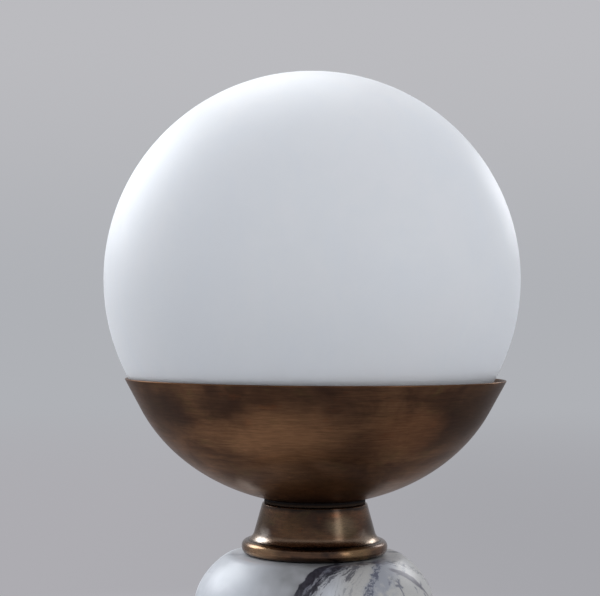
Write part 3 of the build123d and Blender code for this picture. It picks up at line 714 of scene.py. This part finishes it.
# ---- globe and cup
def globe_outline():
    """The ball, open below, whose rim turns down to the gasket and ends in a rounded lip."""
    wall_in, lip_in = GLOBE_R - GLOBE_WALL, LIP_R - GLOBE_WALL
    drop_out, drop_in = sqrt(GLOBE_R**2 - LIP_R**2), sqrt(wall_in**2 - lip_in**2)
    turn_out, turn_in = 90 - degrees(atan2(LIP_R, drop_out)), 90 - degrees(atan2(lip_in, drop_in))
    shape = rounded([(lip_in, GLOBE_Z - drop_in), (lip_in, GASKET_TOP, LIP_ROUND),
                     (LIP_R, GASKET_TOP, LIP_ROUND), (LIP_R, GLOBE_Z - drop_out)])[1:-1]
    shape += oval(GLOBE_Z, GLOBE_R, GLOBE_R, -turn_out, 90, 110)
    shape += oval(GLOBE_Z, wall_in, wall_in, 90, -turn_in, 80)
    return closed_at_axis(shape)


def bowl_height(r):
    """Height of the bowl's underside at a radius."""
    return BOWL_Z - BOWL_B * sqrt(1 - (r / BOWL_A) ** 2)


def bowl_arc(inset, flat):
    """The ellipse of the bowl, moved inwards by an inset, from its flat up to the straight band."""
    a, b = BOWL_A - inset, BOWL_B - inset
    start, end = (-degrees(atan2(BOWL_Z - z, sqrt(b * b - (BOWL_Z - z) ** 2))) for z in (flat, RIM - BAND))
    return oval(BOWL_Z, a, b, start, end, 56)


def cup_outline():
    """A bowl of one wall thickness, with a straight band at its rim and a hole for the rod."""
    outer = bowl_arc(0, CUP_FLAT)
    inner = bowl_arc(CUP_WALL, CUP_FLAT + CUP_WALL)[::-1]
    rim_in = inner[0][0] + RIM_R - outer[-1][0]
    shape = [(ROD_HOLE, CUP_FLAT, 0)] + outer
    shape += rounded([outer[-1], (RIM_R, RIM, 0.45), (rim_in, RIM, 0.4), inner[0]])[1:-1]
    return shape + inner + [(ROD_HOLE, CUP_FLAT + CUP_WALL, 0)]


# ---- bells, bead rings, gaskets and marble
def flare(foot_r, foot_z, top_r, top_z, lean):
    """The cove at a bell's foot: an arc that leaves the cone along its slope and ends at the foot."""
    t = Vector((-lean, -1)).normalized()
    start, end = Vector((top_r, top_z)), Vector((foot_r, foot_z))
    n = Vector((-t.y, t.x))
    d = end - start
    r = d.length_squared / (2 * d.dot(n))
    centre = start + n * r
    t0 = atan2(start.y - centre.y, start.x - centre.x)
    t1 = atan2(end.y - centre.y, end.x - centre.x)
    sweep = (t1 - t0 + pi) % (2 * pi) - pi
    count = 12
    turns = [t0 + sweep * k / count for k in range(count + 1)]
    return [(centre.x + abs(r) * cos(t), centre.y + abs(r) * sin(t), 0) for t in turns]


def bell_outline():
    """A hollow cone with a cove at its foot, and a deck under the recess in its top."""
    lean = (BELL_TOP_R - BELL_WAIST_R) / (BELL_HEIGHT - FLARE_HEIGHT)
    cove = flare(BEAD_R - BEAD_CORNER, 0, BELL_WAIST_R, FLARE_HEIGHT, lean)[::-1]
    recess = BELL_HEIGHT - BELL_RECESS
    deck = recess - BELL_DECK
    inner_top = BELL_TOP_R - lean * (BELL_HEIGHT - deck) - BELL_WALL
    foot_in = BELL_WAIST_R - BELL_WALL
    shape = [(foot_in, 0, 0)] + cove
    shape += rounded([(BELL_WAIST_R, FLARE_HEIGHT), (BELL_TOP_R, BELL_HEIGHT, 1),
                      (BELL_RIM_INNER, BELL_HEIGHT, 0.4), (BELL_RIM_INNER, recess, 0.3)])[1:]
    shape += [(ROD_HOLE, recess, 0), (ROD_HOLE, deck, 0)]
    return shape + rounded([(ROD_HOLE, deck), (inner_top, deck, 1), (foot_in, 0)], 4)[1:-1]


def bead_outline():
    """A ring with a round edge, worn at its middle, and a web that reaches the rod."""
    straight, middle = BEAD_R - BEAD_CORNER, BEAD_HEIGHT / 2
    inner = straight - BEAD_WALL
    edge = oval(BEAD_CORNER, BEAD_CORNER, BEAD_CORNER, -90, 0, 9)
    edge += oval(BEAD_HEIGHT - BEAD_CORNER, BEAD_CORNER, BEAD_CORNER, 0, 90, 9)
    edge = [(straight + r, z, 1 if abs(z - middle) < 0.6 * middle else 0) for r, z, _ in edge]
    web = [(inner, BEAD_HEIGHT, 0), (inner, BEAD_WEB, 0), (ROD_HOLE, BEAD_WEB, 0)]
    return [(ROD_HOLE, 0, 0)] + edge + web


def marble_outline():
    """Right half of the stone's outline: ellipse sides, rounded shoulders, flats and a bore."""
    semi = MARBLE_HALF / sqrt(1 - (MARBLE_FLAT_R / MARBLE_R) ** 2)

    def shoulder(t):
        """Centre and start of the rounding that touches the ellipse at t, and how far it is above the flat."""
        nx, nz = cos(t) / MARBLE_R, sin(t) / semi
        size = sqrt(nx * nx + nz * nz)
        cx = MARBLE_R * cos(t) - SHOULDER_ROUND * nx / size
        cz = semi * sin(t) - SHOULDER_ROUND * nz / size
        return cx, cz, atan2(nz, nx), cz + SHOULDER_ROUND - MARBLE_HALF

    under, over = 0.3, 1.2
    for _ in range(40):     # halves the bracket round the angle until it closes
        t = (under + over) / 2
        if shoulder(t)[3] > 0:
            over = t
        else:
            under = t
    cx, cz, turn, _ = shoulder(t)
    upper = oval(0, MARBLE_R, semi, 0, degrees(t), 40)
    steps = 12
    for k in range(1, steps + 1):
        a = turn + (pi / 2 - turn) * k / steps
        upper.append((cx + SHOULDER_ROUND * cos(a), cz + SHOULDER_ROUND * sin(a), 0))
    lower = [(r, -z, w) for r, z, w in reversed(upper[1:])]
    return [(MARBLE_BORE, -MARBLE_HALF, 0)] + lower + upper + [(MARBLE_BORE, MARBLE_HALF, 0)]


def make_castings(side, bell_at, bead_at, over):
    """A bell, its bead ring and the gasket between that and the marble, upright or turned over."""
    bell, bead = placed(bell_outline(), bell_at, over), placed(bead_outline(), bead_at, over)
    turned_piece(side + "_bell_casting", bell, 176, bronze_bell, "bronze", side + "_bell")
    turned_piece(side + "_bead", bead, 176, bronze_bead, "bronze", side + "_bead_ring")
    node, edge = "marble_gasket_" + side, 0.15
    bottom, top = low(node), high(node)
    inner, outer = MARBLE_BORE + 1.4, BEAD_R - BEAD_CORNER - 0.7
    shape = rounded([(inner, bottom), (outer, bottom, edge), (outer, top, edge), (inner, top)], 3)
    turned_piece(node + "_ring", shape, 128, rubber, "black_rubber", node)


def make_stack():
    """What the photograph shows, from the globe down, and what mirrors it under the marble."""
    turned_piece("globe_glass", globe_outline(), 224, opal, "opal_glass", "globe", "globe", dx=GLOBE_X)
    turned_piece("cup_bowl", cup_outline(), 224, bronze_cup, "bronze", "cup")
    make_castings("upper", UPPER_BELL, UPPER_BEAD, False)
    make_castings("lower", LOWER_BEAD, LOWER_BEAD + BEAD_HEIGHT, True)
    ball = placed(marble_outline(), MARBLE_MIDDLE, False)
    turned_piece("marble_ball", ball, 192, marble, "marble", "marble_body")
    # the black ring between bell and cup: its top follows the bowl. Its black band stands in part for the shade
    # under the cup.
    inner, outer, gap = BELL_RIM_INNER, BELL_TOP_R - 0.8, 0.01
    shape = rounded([(inner, BELL_TOP), (outer, BELL_TOP, 0.3), (outer, bowl_height(outer) - gap, 0.3),
                     (inner, bowl_height(inner) - gap)], 3)
    turned_piece("cup_seat_ring", shape, 128, seat_rubber, "black_rubber", "cup_gasket")


# ---- base
def make_base():
    """The felt's edge and the cord bushing, whose mouth is rounded; the shell keeps its CAD form and hole."""
    shape = rounded([(0, 0), (FELT_R, 0, 0.5), (FELT_R, BASE_BOTTOM, 0.3), (0, BASE_BOTTOM)], 4)
    turned_piece("felt_disc", shape, 176, felt, "felt", "felt_pad")
    rib_count, rib_depth, ribs_end = 24, 0.18, 0.9
    height = (low("cord_bushing") + high("cord_bushing")) / 2
    inside, outside = (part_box("cord_bushing")[k].y / MM for k in (0, 1))
    face = outside - FLANGE
    shape = rounded([(CORD_BORE, inside, 0.4), (BUSHING_R, inside, 0.4), (BUSHING_R, face),
                     (FLANGE_R, face, 0.3), (FLANGE_R, outside, 1), (CORD_BORE, outside, 1.2)], 6)

    def ribs(t, r, y):
        on_flange = r > FLANGE_R - 0.2 and y < outside - ribs_end
        return -rib_depth * (0.5 + 0.5 * cos(rib_count * t)) if on_flange else 0

    turned_piece("cord_inlet_bushing", shape, 144, nylon_black, "black_plastic", "cord_bushing",
                 relief=ribs, along_y=height)


# ---- lampholder
def make_lampholder():
    """Two-part holder: a ribbed lower half, a step at the joint, and a turned-in mouth."""
    step, band, slope = 0.35, 3, 0.4    # the ribbed side is a step thinner than the band at the joint
    slack, ledge, lip = 0.15, 1.05, 1   # round the insert, under it and over it
    spigot_top = low("lampholder_insert")
    bore = HOLDER_R - HOLDER_WALL
    spigot_r, insert_r = bore - slack, outer_radius("lampholder_insert")
    inner, floor, side = insert_r - ledge, GALLERY_TOP + 5, HOLDER_R - step
    shape = rounded([(ROD_HOLE, GALLERY_TOP), (side, GALLERY_TOP, HOLDER_ROUND),
                     (side, CAP_TOP - band - slope, 0.3), (HOLDER_R, CAP_TOP - band, 0.3),
                     (HOLDER_R, CAP_TOP, 0.4), (spigot_r, CAP_TOP), (spigot_r, spigot_top, 0.3),
                     (inner, spigot_top, 0.3), (inner, floor, 0.6), (ROD_HOLE, floor)])
    rib_count, rib_depth = 36, 0.3
    ribs_start, ribs_end = GALLERY_TOP + HOLDER_ROUND + 0.4, CAP_TOP - band - 0.3

    def grip(t, r, z):
        on_side = r > side - 0.1 and ribs_start < z < ribs_end
        return -rib_depth * (0.5 + 0.5 * cos(rib_count * t)) if on_side else 0

    # two more points on the side, between which the grip's ribs run
    above = next(i for i, p in enumerate(shape) if p[1] > ribs_start + 0.1)
    shape[above:above] = [(side, ribs_start + 0.2, 0), (side, ribs_end - 0.3, 0)]
    turned_piece("holder_lower_half", shape, 216, holder_white, "holder_plastic", "lampholder_cap",
                 relief=grip)

    groove, chamfer = HOLDER_R - 0.7, 0.6
    groove_start, groove_end = CAP_TOP + 2.4, HOLDER_TOP - 4.4
    mouth, under = insert_r + slack - lip, high("lampholder_insert") + slack
    shape = rounded([(bore, CAP_TOP, 0.3), (HOLDER_R, CAP_TOP, 0.4), (HOLDER_R, groove_start, 0.3),
                     (groove, groove_start + chamfer, 0.3), (groove, groove_end - chamfer, 0.3),
                     (HOLDER_R, groove_end, 0.3), (HOLDER_R, HOLDER_TOP, 2), (mouth, HOLDER_TOP, 0.5),
                     (mouth, under, 0.2), (bore, under)])
    turned_piece("holder_upper_half", shape, 176, holder_white, "holder_plastic", "lampholder_skirt")


def thread_wave(start, end, depth):
    """A rounded screw thread: cuts up to depth into the radius between two heights, fading in and out."""
    run_out = 1.5

    def relief(t, r, z):
        fade = max(0, min(1, (z - start) / run_out, (end - z) / run_out))
        return -depth * fade * (0.5 - 0.5 * cos(2 * pi * (z / THREAD_PITCH - t / (2 * pi))))

    return relief


def upright(r, start, end, count):
    """Points on a straight upright line, close enough for a relief."""
    return [(r, start + (end - start) * k / count, 0) for k in range(count + 1)]


def make_screw_shell():
    """Threaded brass shell of the lampholder, a thin sheet pressed into waves."""
    sheet, thread_depth = 0.12, 0.26
    node = "lampholder_screw_shell"
    bottom, top, outer = low(node), high(node), outer_radius(node)
    shape = upright(outer, bottom, top, 90) + upright(outer - sheet, top, bottom, 90)
    threads = thread_wave(bottom, top, thread_depth)
    turned_piece("holder_screw_shell", shape, 96, brass, "contact_brass", node, relief=threads)


# ---- bulb
def make_bulb_cap():
    """Threaded cap, and the drop of solder that is its tip contact."""
    start, end = low("bulb_cap"), high("bulb_cap")
    inner, edge, thread_depth = CAP_R - BULB_SHELL, 1, 1
    shape = rounded([(TIP_R, start), (CAP_R, start, edge), (CAP_R, end)])[:-1]
    shape += upright(CAP_R, start + 1.4, end, 90)
    shape += [(inner, end, 0), (inner, start + BULB_SHELL, 0), (TIP_R, start + BULB_SHELL, 0)]
    threads = thread_wave(start + 1.2, end - 1.6, thread_depth)

    def outside_only(t, r, z):
        return threads(t, r, z) if r > CAP_R - 0.6 else 0

    turned_piece("bulb_screw_cap", shape, 96, nickel, "bulb_cap_metal", "bulb_cap", "bulb", relief=outside_only)

    tip_low, tip_high = low("bulb_tip_contact"), high("bulb_tip_contact")
    drop = [(r, tip_low + rise, 1) for r, rise in ((1.6, 0.05), (2.9, 0.25), (3.9, 0.55), (4.4, 0.95))]
    shape = [(0, tip_low, 0)] + drop + [(TIP_R, tip_high, 0), (0, tip_high, 0)]
    turned_piece("bulb_tip", shape, 64, tin, "tip_metal", "bulb_tip_contact", "bulb")


def make_bulb_body():
    """The housing widens in a curve from the cap to the ball, and has cooling fins."""
    bottom, top = low("bulb_body"), high("bulb_body")
    neck, wide, wall, rim_wall = CAP_R + BULB_SHELL / 2, 20, 3, 2.4
    curve_z = bottom + (top - bottom) / 3
    rise, spread, steps = top - curve_z, wide - neck, 24
    radius = (rise**2 + spread**2) / (2 * spread)
    sweep = atan2(rise, radius - spread)
    shape = rounded([(neck - wall, bottom), (neck, bottom, 0.5), (neck, curve_z)], 4)[:-1]
    for k in range(steps):
        t = sweep * k / steps
        shape.append((neck + radius * (1 - cos(t)), curve_z + radius * sin(t), 0))
    shape += [(wide, top, 0), (wide - rim_wall, top, 0), (neck - wall, curve_z, 0)]
    fin_count, fin_depth, fins_start, fins_end = 40, 0.35, curve_z + 1, top - 2.2

    def fins(t, r, z):
        fade = max(0, min(1, (z - fins_start) / 2, fins_end - z))
        return -fin_depth * fade * max(0, cos(fin_count * t)) ** 2 if r > neck - 0.1 else 0

    turned_piece("bulb_housing", shape, 320, bulb_white, "bulb_plastic", "bulb_body", "bulb", relief=fins)


def make_bulb_ball():
    """The frosted diffuser: a thin ball, cut off flat where it meets the housing."""
    centre, thin = high("bulb_ball") - BALL_R, BALL_R - BULB_SHELL
    below = centre - high("bulb_body")
    start, start_in = (-degrees(atan2(below, sqrt(r**2 - below**2))) for r in (BALL_R, thin))
    shape = oval(centre, BALL_R, BALL_R, start, 90, 60) + oval(centre, thin, thin, 90, start_in, 50)
    turned_piece("bulb_diffuser", closed_at_axis(shape), 160, frosted, "frosted_plastic", "bulb_ball", "bulb")


make_stack()
make_base()
make_lampholder()
make_screw_shell()
make_bulb_cap()
make_bulb_body()
make_bulb_ball()

# the CAD nodes that keep their own form, by the material they get
nodes_to_dress = {
    bronze_base: ["base_shell"],
    iron: ["base_weight"],
    painted: ["base_cover", "globe_gallery"],
    zinc: ["base_cover_screws", "rod_nut_lower", "rod_washer_lower", "rod_washer_upper", "rod_nut_upper"],
    nylon_black: ["cord_bushing_nut"],
    nylon_white: ["marble_bush_lower", "marble_bush_upper"],
    rod_steel: ["rod"],
    silicone: ["globe_gasket"],
    porcelain: ["lampholder_insert"],
    brass: ["lampholder_centre_contact", "lampholder_terminal_screws"],
    black_glass: ["bulb_insulator"],
    board: ["bulb_board"],
}
for material, names in nodes_to_dress.items():
    for name in names:
        mesh = nodes[name].data
        mesh.materials.clear()
        mesh.materials.append(material)


# ---- floor, lights, world and camera
HORIZON = (175, 177, 182)


def seen_by_eye(m):
    """1 for what the camera sees directly, in metal or through glass."""
    path = m.add("ShaderNodeLightPath").outputs
    return m.math("ADD", m.math("ADD", path["Is Camera Ray"], path["Is Glossy Ray"]), path["Is Transmission Ray"],
                  clamp=True)


def floor_material():
    """Pale floor that keeps the object's shadow and turns into the plain backdrop further away."""
    m = Material("pale_floor", Roughness=0.7, Specular_IOR_Level=0.2)
    x, y, _ = m.split(m.object)
    away = m.vector("LENGTH", m.pack(x, y, 0))
    seen = seen_by_eye(m)
    grain = m.span(m.noise(m.place, 0.02), 0.3, 0.7)
    near = m.mix(seen, (154, 155, 158), m.mix(grain, (178, 175, 175), (182, 179, 179)))
    paler = m.product(m.span(away, 0.25, 0.6), m.math("SUBTRACT", 1, seen))
    m.set("Base Color", m.mix(paler, near, (232, 233, 235)))
    # painted shadow: the backdrop's glow is darker to the right, where the lamp's shadow falls
    tint = m.mix(m.span(x, -0.25, 0.25), (173, 172, 177), (165, 165, 170))
    glow = m.add("ShaderNodeEmission", {"Color": m.mix(m.span(away, 0.7, 3.5), tint, HORIZON)})
    far = m.product(m.span(away, 0.25, 0.5), seen)
    mixed = m.add("ShaderNodeMixShader", {0: far, 1: m.shader.outputs[0], 2: glow.outputs[0]})
    out = next(n for n in m.tree.nodes if n.type == "OUTPUT_MATERIAL")
    m.join(mixed.outputs[0], out.inputs["Surface"])
    return m.data


def make_floor():
    radius, count = 6000, 96
    turns = [2 * pi * k / count for k in range(count)]
    ring = [(radius * cos(t), radius * sin(t), 0) for t in turns]
    floor = new_mesh("floor", ring, [tuple(range(count))])
    floor.data.materials.append(floor_material())


def make_world():
    """A pale studio: one tone for what is seen, and a plain even light for the surfaces."""
    world = bpy.data.worlds.new("studio")
    world.use_nodes = True
    bpy.context.scene.world = world
    world.node_tree.nodes.clear()
    w = Nodes(world.node_tree)
    x, y, z = w.split(w.add("ShaderNodeTexCoord").outputs["Generated"])
    back = w.span(y, -0.8, 0.6)
    back_sky = w.mix(w.span(z, 0, 0.2), HORIZON, (187, 187, 191))
    front_sky = w.mix(w.span(z, 0.1, 0.9), (136, 137, 140), (196, 198, 202))
    front_sky = w.mix(w.span(z, 0.06, 0.4), HORIZON, front_sky)
    light_sky = w.mix(back, (208, 209, 213), (196, 199, 206))
    light_sky = w.mix(w.span(z, -0.1, 0.75), light_sky, (216, 220, 228))
    seen = w.add("ShaderNodeBackground", {"Color": w.mix(back, front_sky, back_sky)})
    lit = w.add("ShaderNodeBackground", {"Color": light_sky})
    both = w.add("ShaderNodeMixShader", {0: seen_by_eye(w), 1: lit.outputs[0], 2: seen.outputs[0]})
    w.add("ShaderNodeOutputWorld", {"Surface": both.outputs[0]})


def area_light(name, at, aim_height, power, colour, size, size_y=None):
    """A soft light aimed at the lamp's axis: a disc, or a rectangle where size_y is given."""
    data = bpy.data.lights.new(name, "AREA")
    data.shape = "RECTANGLE" if size_y else "DISK"
    data.size = size
    if size_y:
        data.size_y = size_y
    data.energy = power
    data.color = colour
    obj = add_object(name, data)
    obj.location = at
    aim = Vector((0, 0, aim_height)) - Vector(at)
    obj.rotation_euler = aim.to_track_quat("-Z", "Y").to_euler()
    obj.visible_camera = False


def make_lights():
    area_light("top_light", (-0.2, 0.65, 1.25), 0.24, 5.3, (0.97, 0.99, 1), 0.9)
    area_light("left_light", (-0.66, 0.5, 0.62), 0.16, 4.2, (0.9, 0.95, 1), 0.6)
    area_light("right_light", (0.5, 0.65, 0.47), 0.12, 0.8, (0.95, 0.97, 1), 0.26)
    area_light("side_strip", (0.85, -0.75, 0.35), 0.15, 1, (0.95, 0.97, 1), 0.22, 0.8)


def make_camera():
    """The photograph's view: a long lens a little above the cup, which looks up by about a degree."""
    at, looks_up, roll = (-0.00772, -0.735, 0.20753), 1.112, 0.35
    data = bpy.data.cameras.new("camera")
    data.sensor_width = 36
    data.lens = 91.18
    data.clip_start = 0.02
    camera = add_object("camera", data)
    camera.matrix_world = (Matrix.Translation(at) @ Matrix.Rotation(radians(90 + looks_up), 4, "X")
                           @ Matrix.Rotation(radians(roll), 4, "Z"))
    bpy.context.scene.camera = camera


make_floor()
make_world()
make_lights()
make_camera()

bpy.context.scene.view_settings.view_transform = "Standard"
